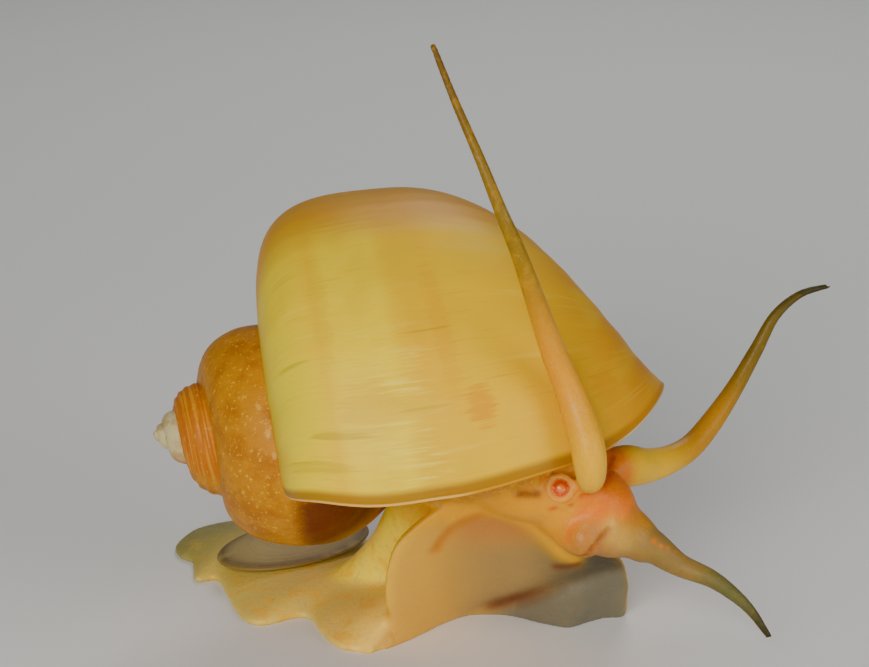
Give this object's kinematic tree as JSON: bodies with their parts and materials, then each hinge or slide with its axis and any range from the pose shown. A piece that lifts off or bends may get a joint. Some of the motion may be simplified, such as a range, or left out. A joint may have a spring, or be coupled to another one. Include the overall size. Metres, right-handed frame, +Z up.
{
  "type": "golden apple snail",
  "caption": "Golden apple snail, life size, crawling with its tentacles spread and the front of its foot raised.",
  "frame": {"origin": "point of the sole where the raised front of the foot still lies on the floor, under the shell's mouth", "axes": "+X along the shell from its apex to its mouth, which is also the way the head looks; +Y towards the animal's left side, away from the viewer of the picture; +Z up, floor at Z = 0"},
  "size_m": [0.0691, 0.0509, 0.0644],
  "materials": {
    "shell_gold": "glossy yellow shell with fine growth lines",
    "flesh_yellow": "wet, translucent yellow skin",
    "flesh_orange": "wet, translucent orange skin",
    "mantle_dark": "wet dark red mantle inside the mouth",
    "operculum_horn": "grey brown horn with growth rings",
    "eye_dark": "glossy dark eye in an orange ring"
  },
  "bodies": {
    "root": {"shell": "shell_gold", "mantle": "mantle_dark", "operculum": "operculum_horn", "foot_rear": "flesh_yellow", "foot_front": "flesh_yellow", "body_stalk": "flesh_yellow", "head": "flesh_orange", "tentacle_right_base": "flesh_yellow", "tentacle_right_middle": "flesh_yellow", "tentacle_right_tip": "flesh_yellow", "tentacle_left_base": "flesh_yellow", "tentacle_left_middle": "flesh_yellow", "tentacle_left_tip": "flesh_yellow", "palp_left_base": "flesh_orange", "palp_left_tip": "flesh_orange", "palp_right": "flesh_orange", "eye_right": "eye_dark", "eye_left": "eye_dark"}
  },
  "joints": []
}
